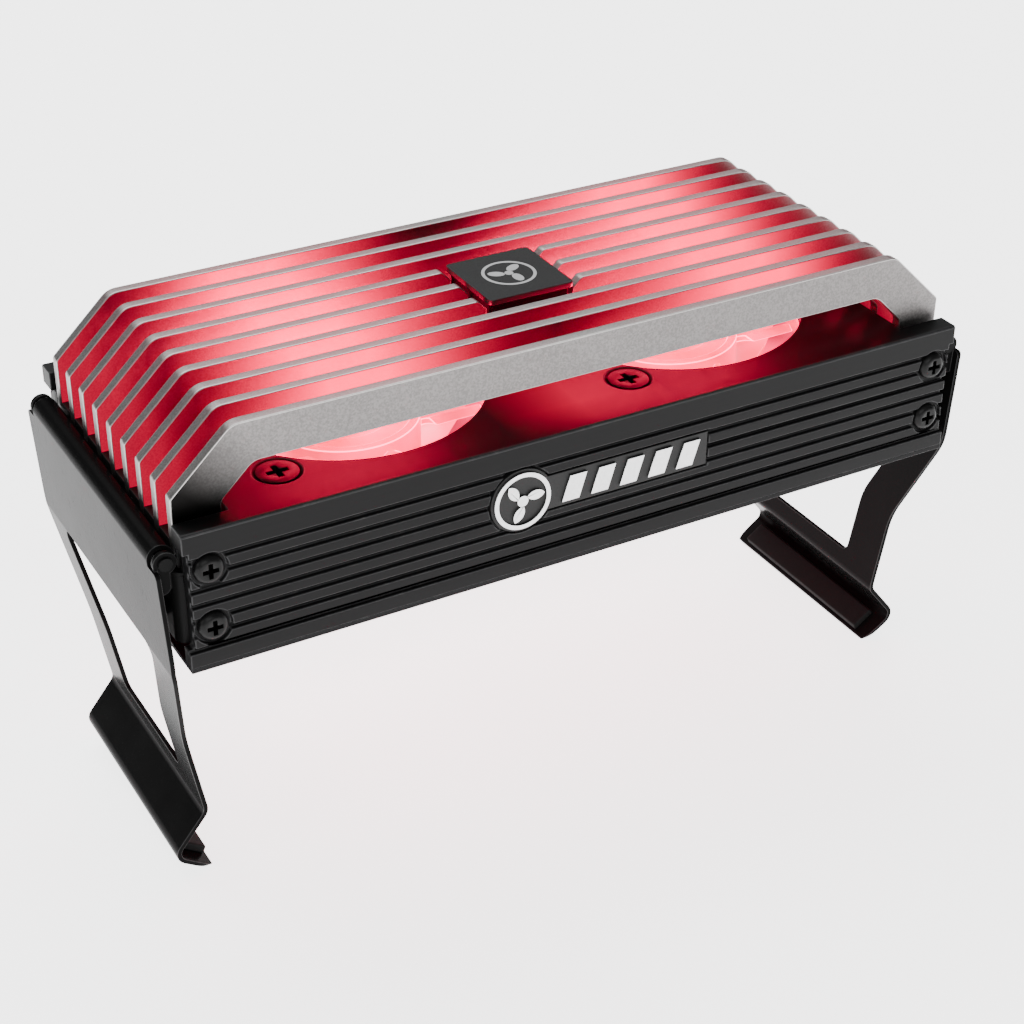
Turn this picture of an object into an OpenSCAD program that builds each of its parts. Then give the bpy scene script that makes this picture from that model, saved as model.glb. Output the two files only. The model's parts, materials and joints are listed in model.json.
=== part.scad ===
// Clip-on cooling fan unit for a row of computer memory modules.
// +X runs along the housing, -Y is its front, +Z is up. The origin is on the
// ground under the middle of the unit, which stands on the tips of its hooks.
// Modules draw with z = 0 at the top of the deck, and on_deck() lifts them.

/* [Housing] */
// Length of the deck, end to end
deck_l = 142.4; // [140:0.2:172]
// Width of the housing, front face to rear face
body_w = 61.4; // [60.6:0.2:75]
// Height of the skirts, deck top to bottom plate
skirt_h = 23.4; // [23.4:0.2:29]
// Thickness of the deck
deck_t = 3.4; // [3:0.1:4]
// Thickness of a skirt, rib to inner face
skirt_t = 2.6; // [2.4:0.1:3]
// Thickness of the bottom plate
plate_t = 0.8; // [0.6:0.1:1.5]
// Number of grooves in each skirt
grooves = 7; // [3:1:7]
// Distance from one groove to the next
groove_pitch = 2.6; // [2.2:0.1:2.8]
// Height of the opening of a groove
groove_w = 0.9; // [0.5:0.1:1.2]
// Depth of a groove
groove_d = 0.9; // [0.4:0.1:1.2]
// Depth of the first groove's middle below the deck top
groove_top = 4.8; // [4.4:0.1:5.6]

/* [Fans] */
// Side of a fan frame
fan_size = 50; // [48:1:52]
// Distance between the screw holes of a fan
fan_pitch = 40; // [38:1:42]
// Distance between the two fan axes
fan_spacing = 62.6; // [60:0.2:70]
// Radius of the bore that the blades turn in
bore_r = 23.9; // [22:0.1:24]
// Radius of the fan hub
hub_r = 13; // [11:0.5:14]
// Number of blades
blades = 7; // [5:1:9]
// Radial gap between blade tips and bore
tip_gap = 0.9; // [0.5:0.1:1.5]

/* [Fins] */
// Distance from one fin to the next
fin_pitch = 6.2; // [5.6:0.1:6.4]
// Thickness of a fin
fin_t = 1.9; // [1:0.1:2.2]
// Height of the fins' top edge over the deck
fin_h = 13.2; // [12:0.2:16]
// Height over the deck of the corner where the slope starts
fin_shoulder = 3.4; // [2:0.2:5]
// Width of a fin's slope
fin_slope = 10.2; // [8:0.2:11]
// Width of a fin's leg
fin_leg = 7.9; // [5:0.1:8]
// Depth of a fin's foot below the deck top
fin_foot = 6.1; // [5:0.1:6.5]

/* [Clips] */
// Height from the hook tips to the deck top
clip_h = 71.2; // [60:0.2:90]
// Thickness of the clip's sheet
clip_t = 0.8; // [0.6:0.1:0.9]
// Width of the clip's panel
clip_w = 58; // [56:0.2:60]
// Width of the clip's legs across their outer edges
leg_w = 42.4; // [36:0.2:48]
// Depth below the deck top where the panel ends and the legs lean in
panel_h = 24.9; // [22:0.1:30]
// Lean of the panel
panel_lean = 3.3; // [2:0.1:4]
// Lean of the legs
leg_lean = 10; // [6:0.5:12]
// Radius of the rolled top edge
hood_r = 2.1; // [1.9:0.1:2.4]
// Radius of the hinge pin
pin_r = 0.6; // [0.4:0.05:0.7]
// Diameter of the spring wire
wire_d = 0.5; // [0.3:0.05:0.5]
// Thickness of the grip pads
pad_t = 1.4; // [1:0.1:2]

/* [Hidden] */
$fn = 64;

fin_count = 9;

// Clearances
gap = 0.3;
running = 0.05;
seat = 0.02;
cut = 0.5;

// Housing
half_l = deck_l / 2;
half_w = body_w / 2;
skirt_in = half_w - skirt_t;
rib_floor = half_w - groove_d;
end_cut = 0.9;
skirt_end = half_l - end_cut;
last_groove = groove_top + (grooves - 1) * groove_pitch;
edge_bevel = 0.3;

// Deck openings
deck_hole_r = bore_r - 0.1;
notch_w = (fin_count - 1) * fin_pitch + fin_t + 2.1;
screw_r = 1.75;
deck_screw_head_r = 3.7;
deck_screw_seat_r = 4;
deck_screw_hole_r = 2.1;
deck_screw_cone = 2.1;
deck_screw_l = 9;
bottom_head_r = 3.3;
bottom_cone = 1.5;

// Fins, as distances from the middle along X
leg_out = half_l - 0.6;
leg_in = leg_out - fin_leg;
top_out = leg_out - fin_slope;
band = 6.9;
band_in = leg_in - 5.4;
shoulder_in = fin_shoulder - 2.4;

// Rail that the fins stand in
rail_in = leg_in - 0.5;
rail_out = skirt_end + 0.25;
rail_w = notch_w - 0.8;
rail_top = deck_t + 0.8;
rail_bottom = 9;

// End bracket
bracket_t = 1;
wall_in = rail_out + 0.25;
wall_out = wall_in + bracket_t;
wall_top = 7.9;
wall_bottom = last_groove + 0.1;
flange_out = skirt_in - 0.1;
flange_in = flange_out - bracket_t;
flange_end = leg_in;
flange_top = deck_t + 0.5;
bracket_bend = 1.5;
tab_y = 12;
tab_w = 8;
window_bottom = 17;

// Skirt screws
skirt_screw_x = skirt_end - 3.2;
skirt_screw_z = [6.9, 16.9];
skirt_screw_r = 1.25;
skirt_head_r = 2.45;
skirt_head_h = 1.3;
spot_r = 3;
skirt_screw_l = rib_floor - flange_in + 0.2;

// Clip and hinge, as distances from the middle along X and below the deck top
hinge_x = wall_out + 1.05;
hinge_z = -5.7;
panel_top = 6.6;
ear_t = 0.8;
ear_y = clip_w / 2 - 2.1;
ear_r = hood_r - 0.2;
ear_tip_r = 1.15;
ear_z = 11;
bracket_ear_t = 0.75;
bracket_ear_y = ear_y - 0.25 - bracket_ear_t;
hood_w = 2 * (bracket_ear_y - 0.2);
leg_side = 8.7;
bracket_ear_r = 1.2;
mid_r = hood_r - clip_t / 2;
web_lean = 39;
lip_rise = 34.8;
web_h = 7.66;
leg_end = clip_h - 12.4;
foot_w = leg_w - 0.4;
pin_l = 2 * (ear_y + ear_t + running);
pin_head_r = 1.1;
pin_head_h = 0.4;
coil_turns = 9.5;
coil_steps = 12;
coil_r = pin_r + running + wire_d / 2;
coil_pitch = wire_d + 0.04;
leg_l = 6.5;
wall_lean = 6;
stop_z = 18;
stop_y = 20;
stop_r = 1.5;

// Fan, as heights over the bottom of its frame
fan_h = skirt_h - deck_t;
flange_h = 3.5;
post_r = 3.6;
base_h = 1.5;
tube_r = 4.2;
sleeve_r = 3;
shaft_r = 1;
tube_top = fan_h - 4.5;
hub_bottom = 4;
hub_top = fan_h - 1.4;
hub_wall = 1.1;
cup_r = hub_r - hub_wall;
cup_t = 0.8;
magnet_r = cup_r - cup_t;
magnet_t = 1.3;
core_r = magnet_r - magnet_t - 0.5;
core_bottom = 6;
core_h = 7;
core_hub_r = tube_r + 1.6;
pole_w = 2.2;
pole_shoe = 1.4;
coil_t = 1.1;
blade_r = bore_r - tip_gap;
blade_t = 1;
blade_camber_r = 22;
blade_pitch = 38;
led_r = 1.5;
led_l = 3.2;
led_turn = 27;
led_z = fan_h / 2;

// Badge and emblem
badge_w = 15.8;
badge_t = 1;
badge_floor = 9.6;
badge_slope = 1.6;
emblem_x0 = -20.3;
emblem_x1 = 20.3;
emblem_z = 10.2;
emblem_ring_r = 5.6;
emblem_bar_h = 6.2;
emblem_proud = 0.4;

// Cable outlet and junction board
outlet_z = 12;
outlet_r = 3;
outlet_lip_r = 4.2;
cable_r = 1.8;
board_l = 26;
board_w = 10;
board_t = 1.2;
standoff_h = 1;
socket_h = 4;
lead_r = 0.5;

black = [0.07, 0.07, 0.08];
bare = [0.66, 0.65, 0.63];
steel = [0.6, 0.6, 0.62];
clear = [1, 0.62, 0.66];

module on_deck() translate([0, 0, clip_h]) children();
module side(s) mirror([s < 0 ? 1 : 0, 0, 0]) children();
module both_sides() for (s = [-1, 1]) side(s) children();

// A flat XZ outline given a depth along Y, about y = 0
module slab_y(depth) rotate([90, 0, 0]) linear_extrude(depth, center = true) children();
// A flat YZ outline given a length along X, from x0
module slab_x(x0, length) translate([x0, 0, 0]) rotate([90, 0, 90]) linear_extrude(length) children();
// A round bar along Y, from y0 to y1
module rod_y(y0, y1, r) translate([0, y0, 0]) rotate([-90, 0, 0]) cylinder(h = y1 - y0, r = r);

function unit(v) = v / norm(v);
function turn(a, b) = (b - a + 540) % 360 - 180;
// Points of the arc of radius r that rounds the corner b between a and c
function corner(a, b, c, r, n) =
    let (u = unit(a - b), v = unit(c - b), half = acos(u * v) / 2)
    let (m = b + unit(u + v) * r / sin(half))
    let (p = b + u * r / tan(half) - m, q = b + v * r / tan(half) - m)
    let (start = atan2(p.y, p.x), sweep = turn(start, atan2(q.y, q.x)))
    [for (i = [0:n]) m + r * [cos(start + sweep * i / n), sin(start + sweep * i / n)]];
// Closed outline through points [x, y, corner radius]
function rounded(p, n = 6) =
    [for (i = [0:len(p) - 1]) let (a = p[(i + len(p) - 1) % len(p)], b = p[i], c = p[(i + 1) % len(p)])
        each b[2] > 0 ? corner([a.x, a.y], [b.x, b.y], [c.x, c.y], b[2], n) : [[b.x, b.y]]];
// Open path through points [x, y, bend radius]
function bent(p, n = 6) =
    [for (i = [0:len(p) - 1]) let (a = p[max(i - 1, 0)], b = p[i], c = p[min(i + 1, len(p) - 1)])
        each b[2] > 0 ? corner([a.x, a.y], [b.x, b.y], [c.x, c.y], b[2], n) : [[b.x, b.y]]];
// Normal of an open path at point i, stretched so that a sheet keeps its thickness in the bends
function sheet_normal(p, i) =
    let (a = unit(p[max(i, 1)] - p[max(i, 1) - 1]), j = min(i + 1, len(p) - 1), b = unit(p[j] - p[j - 1]))
    let (m = unit(a + b)) [-m.y, m.x] / (m * b);
// Outline of a sheet of thickness t whose middle follows the path
function sheet(p, t) = concat(
    [for (i = [0:len(p) - 1]) p[i] + sheet_normal(p, i) * t / 2],
    [for (i = [len(p) - 1:-1:0]) p[i] - sheet_normal(p, i) * t / 2]);
function mirrored(p) = concat(p, [for (i = [len(p) - 1:-1:0]) [-p[i].x, p[i].y, p[i][2]]]);

// A screw along +Z with a pan head that stands on z = 0
module pan_screw(l, r, head_r, head_h) {
    translate([0, 0, -l]) cylinder(h = l, r = r);
    difference() {
        union() {
            cylinder(h = head_h * 0.6, r = head_r);
            translate([0, 0, head_h * 0.6]) cylinder(h = head_h * 0.4, r1 = head_r, r2 = head_r * 0.8);
        }
        cross_slot(head_h, head_r);
    }
}

// A screw along +Z whose conical head ends flush at z = 0
module flush_screw(l, r, head_r, cone) difference() {
    union() {
        translate([0, 0, -cone]) cylinder(h = cone, r1 = r, r2 = head_r);
        translate([0, 0, -l]) cylinder(h = l - 1, r = r);
    }
    cross_slot(0, head_r);
}

// The cross recess of a screw head whose top is at z = top
module cross_slot(top, head_r) {
    for (a = [0, 90])
        rotate([0, 0, a]) translate([-head_r * 0.55, -head_r * 0.12, top - 0.8])
            cube([head_r * 1.1, head_r * 0.24, 1]);
}

// ---- Housing ----

// Half of the housing's section, from the middle of the deck top round to its underside
function groove(i) =
    let (z = -groove_top - i * groove_pitch, h = groove_w / 2)
    [[half_w, z + h], [rib_floor, z + h], [rib_floor, z - h], [half_w, z - h]];
function half_section() = concat(
    [[half_w - edge_bevel, 0], [half_w, -edge_bevel]],
    [for (i = [0:grooves - 1]) each groove(i)],
    [[half_w, -skirt_h], [skirt_in, -skirt_h], [skirt_in, -deck_t]]);
function housing_section() =
    let (h = half_section()) concat(h, [for (i = [len(h) - 1:-1:0]) [-h[i].x, h[i].y]]);

module at_fans() for (s = [-1, 1]) translate([s * fan_spacing / 2, 0, 0]) children();
module at_fan_screws(flip)
    for (s = [-1, 1]) translate([s * fan_pitch / 2, s * flip * fan_pitch / 2, 0]) children();

module at_skirt_screws() {
    for (x = [-1, 1], y = [-1, 1], z = skirt_screw_z)
        translate([x * skirt_screw_x, y * rib_floor, -z]) rotate([-90 * y, 0, 0]) children();
}

module emblem_outline(grow) {
    translate([emblem_x0 + emblem_ring_r, 0]) circle(r = emblem_ring_r + grow);
    translate([emblem_x0 + emblem_ring_r, -emblem_bar_h / 2 - grow])
        square([emblem_x1 - emblem_x0 - emblem_ring_r + grow, emblem_bar_h + 2 * grow]);
}

module body_channel() color(black) on_deck() {
    difference() {
        slab_x(-half_l, deck_l) polygon(housing_section());
        // The skirts stop short of the deck, above the lower band
        both_sides() translate([skirt_end, -half_w - cut, -wall_bottom])
            cube([end_cut + cut, body_w + 2 * cut, wall_bottom - deck_t]);
        // Notches in the deck ends for the fins
        both_sides() translate([rail_in, -notch_w / 2, -deck_t - cut])
            cube([half_l - rail_in + cut, notch_w, deck_t + 2 * cut]);
        at_fans() translate([0, 0, -deck_t - cut]) cylinder(h = deck_t + 2 * cut, r = deck_hole_r);
        at_fans() at_fan_screws(1) {
            translate([0, 0, -deck_t - cut]) cylinder(h = deck_t + cut, r = deck_screw_hole_r);
            translate([0, 0, -deck_screw_cone])
                cylinder(h = deck_screw_cone, r1 = deck_screw_hole_r, r2 = deck_screw_seat_r);
        }
        at_skirt_screws() {
            cylinder(h = groove_d + cut, r = spot_r);
            translate([0, 0, -skirt_t - cut]) cylinder(h = skirt_t + 2 * cut, r = skirt_screw_r + 0.15);
        }
        // Seat of the emblem
        translate([0, -rib_floor, -emblem_z]) rotate([90, 0, 0])
            linear_extrude(groove_d + cut) emblem_outline(gap);
        // Cable outlet
        translate([0, 0, -outlet_z]) rod_y(skirt_in - cut, half_w + cut, outlet_r);
        translate([0, 0, -outlet_z]) rod_y(rib_floor, half_w + cut, outlet_lip_r + gap);
    }
}

module bottom_plate() color(black) on_deck() {
    difference() {
        union() {
            translate([-half_l, -half_w, -skirt_h - plate_t]) cube([deck_l, body_w, plate_t]);
            at_standoffs() cylinder(h = standoff_h, r = 1.5);
        }
        at_fans() translate([0, 0, -skirt_h - plate_t - cut])
            cylinder(h = plate_t + 2 * cut, r = deck_hole_r);
        at_fans() at_fan_screws(-1) translate([0, 0, -skirt_h - plate_t]) bottom_seat();
    }
}

// The countersink of a bottom screw, through the plate into the fan frame's corner
module bottom_seat() {
    translate([0, 0, -cut]) cylinder(h = cut, r = bottom_head_r + gap);
    cylinder(h = bottom_cone, r1 = bottom_head_r + gap, r2 = screw_r + gap);
}

module at_standoffs() for (y = [-1, 1]) translate([0, y * (board_l / 2 - 2), -skirt_h]) children();

// ---- End brackets and fin rails ----

module bracket_path() {
    path = bent([
        [flange_end, flange_out - bracket_t / 2, 0],
        [wall_out - bracket_t / 2, flange_out - bracket_t / 2, bracket_bend],
        [wall_out - bracket_t / 2, bracket_t / 2 - flange_out, bracket_bend],
        [flange_end, bracket_t / 2 - flange_out, 0]]);
    polygon(sheet(path, bracket_t));
}

module bracket_ear() {
    difference() {
        union() {
            translate([hinge_x, hinge_z]) circle(r = bracket_ear_r);
            polygon([[hinge_x - bracket_ear_r, hinge_z], [hinge_x + bracket_ear_r, hinge_z],
                [wall_out + 0.7, -ear_z], [wall_out - 0.5, -ear_z]]);
        }
        translate([hinge_x, hinge_z]) circle(r = pin_r + seat);
    }
}

module end_bracket(s) color(black) on_deck() side(s) {
    difference() {
        union() {
            translate([0, 0, -wall_bottom]) linear_extrude(wall_bottom - wall_top) bracket_path();
            // The flanges rise past the wall to take the upper screws
            for (y = [-1, 1]) translate([flange_end, y > 0 ? flange_in : -flange_out, -wall_top - cut])
                cube([skirt_end - flange_end, bracket_t, wall_top + cut - flange_top]);
            for (y = [-1, 1]) translate([rail_in + 1.5, y * tab_y - tab_w / 2, -rail_bottom - bracket_t])
                cube([wall_out - rail_in - 2, tab_w, bracket_t]);
            for (y = [-1, 1]) translate([0, y * (bracket_ear_y + bracket_ear_t / 2), 0])
                slab_y(bracket_ear_t) bracket_ear();
            for (y = [-1, 1]) translate([wall_out - cut, y * stop_y, -stop_z]) rotate([0, 90, 0])
                cylinder(h = panel_inner(stop_z + stop_r) - running - wall_out + cut, r = stop_r);
        }
        for (y = [-1, 1]) translate([wall_in - cut, y * tab_y - tab_w / 2, -window_bottom])
            cube([bracket_t + 2 * cut, tab_w, window_bottom - rail_bottom - bracket_t]);
        at_skirt_screws() translate([0, 0, -skirt_t - bracket_t - 1])
            cylinder(h = bracket_t + 2, r = skirt_screw_r + seat);
    }
}
module end_bracket_left() end_bracket(-1);
module end_bracket_right() end_bracket(1);

module at_fins() for (i = [1:fin_count]) translate([0, fin_y(i), 0]) children();
function fin_y(i) = (i - (fin_count + 1) / 2) * fin_pitch;

module fin_rail(s) color(black) on_deck() side(s) {
    difference() {
        translate([rail_in, -rail_w / 2, -rail_bottom])
            cube([rail_out - rail_in, rail_w, rail_bottom - rail_top]);
        at_fins() translate([rail_in - cut, -fin_t / 2 - running, -fin_foot])
            cube([rail_out - rail_in + 2 * cut, fin_t + 2 * running, fin_foot]);
    }
}
module fin_rail_left() fin_rail(-1);
module fin_rail_right() fin_rail(1);

// ---- Fins ----

// The middle fins are cut down under the badge
function badge_notch() = let (x = badge_w / 2 + 0.2)
    [[x + badge_slope, fin_h, 1], [x, fin_h - badge_slope, 0.5], [x, badge_floor, 0.4]];
function fin_outline(notched) = rounded(concat(
    mirrored(concat(
        [[leg_in, -fin_foot, 0], [leg_out, -fin_foot, 0], [leg_out, fin_shoulder, 0.8],
            [top_out, fin_h, 3.5]],
        notched ? badge_notch() : [])),
    mirrored([[-leg_in, shoulder_in, 1.5], [-band_in, fin_h - band, 3]])));

module fin(i) color(bare) on_deck() translate([0, fin_y(i), 0])
    slab_y(fin_t) polygon(fin_outline(abs(fin_y(i)) < badge_w / 2));
module fin_1() fin(1);
module fin_2() fin(2);
module fin_3() fin(3);
module fin_4() fin(4);
module fin_5() fin(5);
module fin_6() fin(6);
module fin_7() fin(7);
module fin_8() fin(8);
module fin_9() fin(9);

// ---- Badge and emblem ----

module badge_base() color(black) on_deck() {
    w = badge_w - 1.6;
    difference() {
        translate([-w / 2, -w / 2, badge_floor]) cube([w, w, fin_h - badge_t - badge_floor]);
        translate([-w / 2 + 1.2, -w / 2 + 1.2, badge_floor - cut])
            cube([w - 2.4, w - 2.4, fin_h - badge_t - badge_floor - 1 + cut]);
    }
    // Hooks that reach down between the middle fins
    for (x = [-1, 1], y = [-1, 1])
        translate([x * (w / 2 - 0.6) - 0.6, y * fin_pitch / 2 - 1.2, badge_floor - 2.4])
            cube([1.2, 2.4, 2.4 + cut]);
}

module badge_plate() color(black) on_deck() translate([0, 0, fin_h - badge_t]) {
    w = badge_w / 2;
    linear_extrude(badge_t) polygon(rounded([[-w, -w, 0.8], [w, -w, 0.8], [w, w, 0.8], [-w, w, 0.8]]));
}

module emblem_base() color(black) on_deck() translate([0, -rib_floor, -emblem_z]) rotate([90, 0, 0])
    linear_extrude(groove_d - 0.05) emblem_outline(0);

// A fan sign in a ring, and a plain bar of slanted segments
module emblem() color("silver") on_deck() {
    translate([0, -half_w + 0.05, -emblem_z]) rotate([90, 0, 0]) linear_extrude(emblem_proud) {
        translate([emblem_x0 + emblem_ring_r, 0]) {
            difference() {
                circle(r = emblem_ring_r - 0.5);
                circle(r = emblem_ring_r - 1.3);
            }
            circle(r = 1);
            for (a = [0:120:240]) rotate(a) translate([2.35, 0.6]) intersection() {
                translate([0, -1]) circle(r = 1.9);
                translate([0, 1]) circle(r = 1.9);
            }
        }
        for (i = [0:4]) translate([emblem_x0 + 2 * emblem_ring_r + 1.6 + i * 5.4, 0])
            polygon([[0, -emblem_bar_h / 2 + 0.8], [3.2, -emblem_bar_h / 2 + 0.8],
                [4.6, emblem_bar_h / 2 - 0.8], [1.4, emblem_bar_h / 2 - 0.8]]);
    }
}

// ---- Screws ----

module fan_screws() color(black) on_deck() at_fans() at_fan_screws(1)
    flush_screw(deck_screw_l, screw_r, deck_screw_head_r, deck_screw_cone);

module skirt_screws() color(black) on_deck() at_skirt_screws()
    pan_screw(skirt_screw_l, skirt_screw_r, skirt_head_r, skirt_head_h);

module bottom_screws() color(black) on_deck() at_fans() at_fan_screws(-1)
    translate([0, 0, -skirt_h - plate_t]) rotate([180, 0, 0])
        flush_screw(7, screw_r, bottom_head_r, bottom_cone);

// ---- Fans ----

// Children stand on the underside of fan frame s
module at_fan(s) translate([s * fan_spacing / 2, 0, clip_h - skirt_h]) children();
module ring(r_out, r_in, z0, z1) difference() {
    translate([0, 0, z0]) cylinder(h = z1 - z0, r = r_out);
    translate([0, 0, z0 - cut]) cylinder(h = z1 - z0 + 2 * cut, r = r_in);
}
module at_corners() for (x = [-1, 1], y = [-1, 1]) translate([x, y] * fan_pitch / 2) children();
module at_leds() for (a = [0:90:270]) rotate([0, 0, a + led_turn]) translate([bore_r + 0.1, 0, led_z])
    rotate([0, 90, 0]) children();

module fan_frame(s) color(clear) at_fan(s) {
    h = fan_size / 2;
    difference() {
        union() {
            for (z = [0, fan_h - flange_h]) translate([0, 0, z]) linear_extrude(flange_h)
                polygon(rounded([[-h, -h, 3], [h, -h, 3], [h, h, 3], [-h, h, 3]]));
            cylinder(h = fan_h, r = h);
            at_corners() cylinder(h = fan_h, r = post_r);
            intersection() {
                at_leds() translate([-led_r - 1, -led_r - 1, -1])
                    cube([2 * led_r + 2, 2 * led_r + 2, led_l + 3]);
                translate([-h, -h, 0]) cube([fan_size, fan_size, fan_h]);
            }
        }
        translate([0, 0, -cut]) cylinder(h = fan_h + 2 * cut, r = bore_r);
        at_corners() translate([0, 0, -cut]) cylinder(h = fan_h + 2 * cut, r = screw_r + seat);
        at_corners() translate([0, 0, -plate_t]) bottom_seat();
        at_leds() translate([0, 0, -1]) cylinder(h = led_l + 6, r = led_r + seat);
    }
    // Hub base on four arms, with the tube that holds the bearing
    difference() {
        union() {
            cylinder(h = base_h, r = hub_r);
            cylinder(h = tube_top, r = tube_r);
            cylinder(h = base_h + 0.5, r = tube_r + 1.5);
            for (a = [0:90:270]) rotate([0, 0, a]) translate([hub_r - 1, -1.25, 0])
                cube([bore_r + 0.4 - hub_r + 1, 2.5, base_h + 0.7]);
        }
        translate([0, 0, base_h]) cylinder(h = tube_top, r = sleeve_r);
    }
}
module fan_frame_left() fan_frame(-1);
module fan_frame_right() fan_frame(1);

module bearing(s) color("goldenrod") at_fan(s) ring(sleeve_r, shaft_r + running, base_h, tube_top);
module bearing_left() bearing(-1);
module bearing_right() bearing(1);

module fan_board(s) color("green") at_fan(s)
    ring(hub_r - 1.5, tube_r + running, base_h + 0.5, base_h + 1.5);
module fan_board_left() fan_board(-1);
module fan_board_right() fan_board(1);

module stator_core(s) color(steel) at_fan(s) translate([0, 0, core_bottom]) difference() {
    union() {
        cylinder(h = core_h, r = core_hub_r);
        intersection() {
            union() {
                for (a = [0, 90]) rotate([0, 0, a]) translate([-core_r, -pole_w / 2, 0])
                    cube([2 * core_r, pole_w, core_h]);
                ring(core_r, core_r - pole_shoe, 0, core_h);
            }
            // The shoes leave slots at the diagonals
            union() for (a = [0, 90]) rotate([0, 0, a]) translate([-core_r, -core_r * 0.6, 0])
                cube([2 * core_r, core_r * 1.2, core_h]);
            cylinder(h = core_h, r = core_r);
        }
    }
    translate([0, 0, -cut]) cylinder(h = core_h + 2 * cut, r = tube_r + seat);
}
module stator_core_left() stator_core(-1);
module stator_core_right() stator_core(1);

module stator_coils(s) color("peru") at_fan(s) translate([0, 0, core_bottom]) {
    coil_in = core_hub_r + 0.1;
    // The coil's outer corners stop short of the round inside of the pole shoes
    coil_out = sqrt(pow(core_r - pole_shoe, 2) - pow(pole_w / 2 + coil_t, 2)) - 0.1;
    coil_l = coil_out - coil_in;
    for (a = [0:90:270]) rotate([0, 0, a]) difference() {
        translate([coil_in, -pole_w / 2 - coil_t, -coil_t])
            cube([coil_l, pole_w + 2 * coil_t, core_h + 2 * coil_t]);
        translate([coil_in - cut, -pole_w / 2 - seat, -seat])
            cube([coil_l + 2 * cut, pole_w + 2 * seat, core_h + 2 * seat]);
    }
}
module stator_coils_left() stator_coils(-1);
module stator_coils_right() stator_coils(1);

module rotor_shaft(s) color("silver") at_fan(s)
    translate([0, 0, base_h + gap]) cylinder(h = hub_top - 0.4 - base_h - gap, r = shaft_r);
module rotor_shaft_left() rotor_shaft(-1);
module rotor_shaft_right() rotor_shaft(1);

module rotor_cup(s) color(steel) at_fan(s) {
    ring(cup_r, magnet_r, hub_bottom, hub_top - 1.2);
    ring(magnet_r + 0.1, shaft_r + 1, hub_top - 1.2 - cup_t, hub_top - 1.2);
}
module rotor_cup_left() rotor_cup(-1);
module rotor_cup_right() rotor_cup(1);

module rotor_magnet(s) color([0.2, 0.2, 0.2]) at_fan(s)
    ring(magnet_r, magnet_r - magnet_t, hub_bottom + 0.5, core_bottom + core_h + 1.5);
module rotor_magnet_left() rotor_magnet(-1);
module rotor_magnet_right() rotor_magnet(1);

// One blade along +X: a strip of a curved shell, pitched about its own length
module blade() intersection() {
    ring(blade_r, hub_r - 0.5, hub_bottom + 0.5, hub_top - 0.4);
    translate([hub_r - 1, 0, (hub_bottom + hub_top) / 2]) rotate([blade_pitch, 0, 0])
        translate([0, -blade_camber_r, 0]) rotate([0, 90, 0]) difference() {
            cylinder(h = blade_r, r = blade_camber_r + blade_t / 2);
            translate([0, 0, -cut]) cylinder(h = blade_r + 2 * cut, r = blade_camber_r - blade_t / 2);
        }
    translate([0, -bore_r / 2, 0]) cube([bore_r, bore_r, fan_h]);
}

module fan_rotor(s) color(clear) at_fan(s) {
    ring(hub_r, cup_r, hub_bottom, hub_top - 1.2);
    difference() {
        union() {
            translate([0, 0, hub_top - 1.2]) cylinder(h = 1.2, r = hub_r);
            translate([0, 0, hub_top - 2.2]) cylinder(h = 1.1, r = shaft_r + 1);
        }
        translate([0, 0, hub_top - 3]) cylinder(h = 2.6, r = shaft_r);
    }
    for (i = [0:blades - 1]) rotate([0, 0, i * 360 / blades]) blade();
}
module fan_rotor_left() fan_rotor(-1);
module fan_rotor_right() fan_rotor(1);

module leds(s) color("red") at_fan(s) at_leds() cylinder(h = led_l, r = led_r);
module leds_left() leds(-1);
module leds_right() leds(1);

// ---- Wiring ----

module junction_board() color("green") on_deck()
    translate([-board_w / 2, -board_l / 2, -skirt_h + standoff_h]) cube([board_w, board_l, board_t]);

module at_sockets() for (y = [-1, 1]) translate([0, y * 6, -skirt_h + standoff_h + board_t]) children();
module board_sockets() color("white") on_deck() at_sockets()
    translate([-3, -2.6, 0]) cube([6, 5.2, socket_h]);

// Three leads run from each fan frame to its socket
module fan_leads() color("dimgray") on_deck() {
    for (s = [-1, 1], i = [-1:1])
        translate([s * 3, s * 6 + i * 1.3, -skirt_h + flange_h - lead_r - 0.2]) rotate([0, s * 90, 0])
            cylinder(h = (fan_spacing - fan_size) / 2 - 3, r = lead_r);
}

module cable_grommet() color([0.1, 0.1, 0.1]) on_deck() translate([0, 0, -outlet_z]) difference() {
    union() {
        rod_y(skirt_in - 1.2, half_w - 0.1, outlet_r - seat);
        rod_y(rib_floor + seat, half_w - 0.1, outlet_lip_r);
        rod_y(skirt_in - 1.2, skirt_in - seat, outlet_lip_r);
    }
    rod_y(skirt_in - 3, half_w + cut, cable_r);
}

// ---- Clips ----

// Outer and inner face of the panel at depth z below the deck top, along X
function panel_outer(z) = hinge_x + hood_r / cos(panel_lean) - (z + hinge_z) * tan(panel_lean);
function panel_inner(z) = panel_outer(z) - clip_t / cos(panel_lean);

// The middle of the sheet, from the rolled edge over the pin down to the tip of the hook
function clip_path() =
    let (bend = [panel_outer(panel_h) - clip_t / 2, -panel_h])
    let (knee = [bend.x - (leg_end - panel_h) * tan(leg_lean), -leg_end])
    let (heel = [knee.x + web_h * tan(web_lean), -leg_end - web_h])
    let (tip_z = -clip_h + clip_t / 2 * cos(lip_rise))
    let (tip = [heel.x - (heel.y - tip_z) / tan(lip_rise), tip_z])
    concat(
        [for (i = [0:12]) let (a = 180 - (180 + panel_lean) * i / 12)
            [hinge_x, hinge_z] + mid_r * [cos(a), sin(a)]],
        bent([[panel_outer(10) - clip_t / 2, -10, 0], [bend.x, bend.y, 6], [knee.x, knee.y, 2.2],
            [heel.x, heel.y, 2], [tip.x, tip.y, 0]]));
function clip_heel() = clip_path()[len(clip_path()) - 2];
function clip_tip() = clip_path()[len(clip_path()) - 1];

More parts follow.
